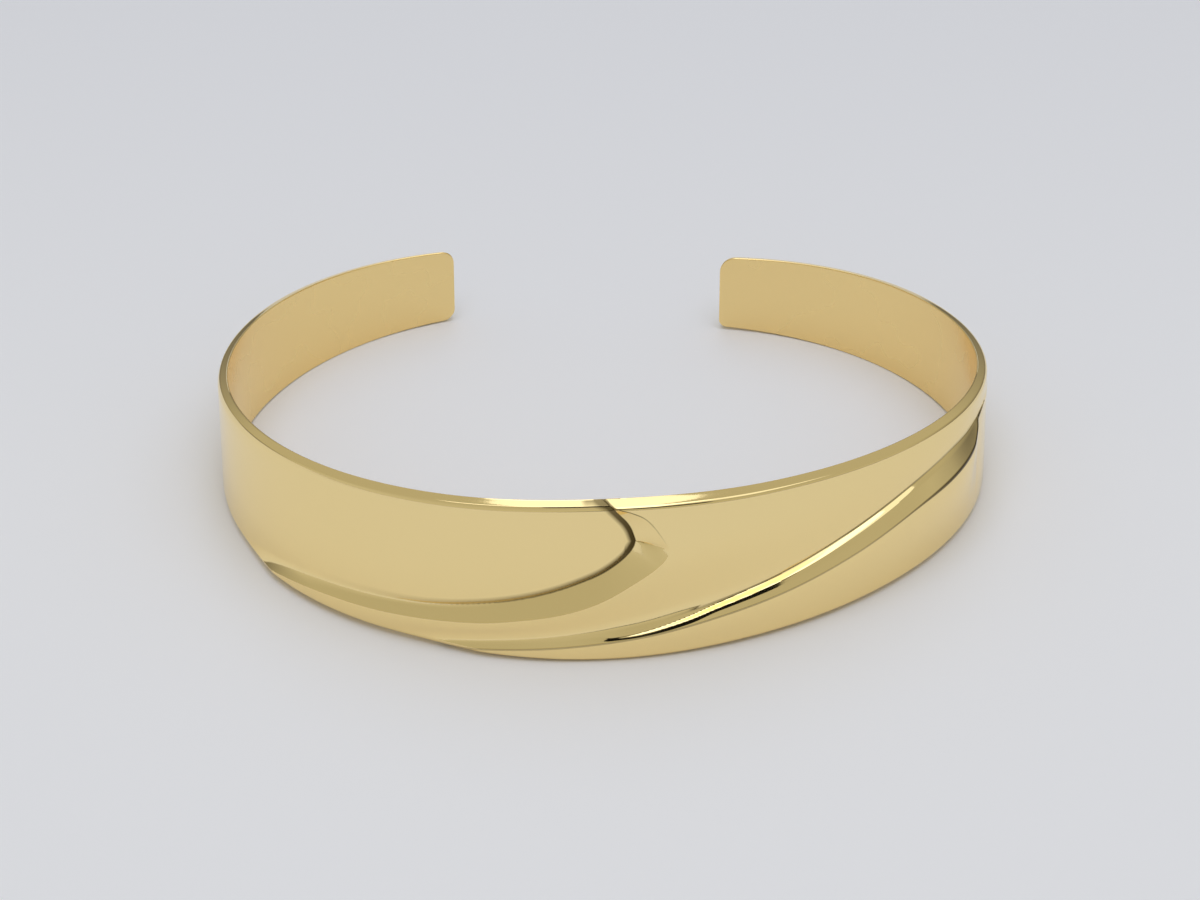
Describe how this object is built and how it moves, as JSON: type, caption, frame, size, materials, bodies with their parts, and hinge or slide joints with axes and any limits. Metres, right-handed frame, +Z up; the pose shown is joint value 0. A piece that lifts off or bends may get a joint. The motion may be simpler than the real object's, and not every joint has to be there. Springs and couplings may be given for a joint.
{
  "type": "open cuff bangle",
  "caption": "Open oval cuff bangle of polished yellow metal, wide in front with sweeping folds and narrowing to round-cornered ends at the back.",
  "frame": {"origin": "centre of the bounding box on the surface the cuff rests on", "axes": "+X to the right along the wide front, +Y from the front towards the gap between the ends, +Z up out of the surface"},
  "size_m": [0.0618, 0.0508, 0.0135],
  "materials": {
    "gold": "polished"
  },
  "bodies": {
    "root": {"cuff_band": "gold"}
  },
  "joints": []
}
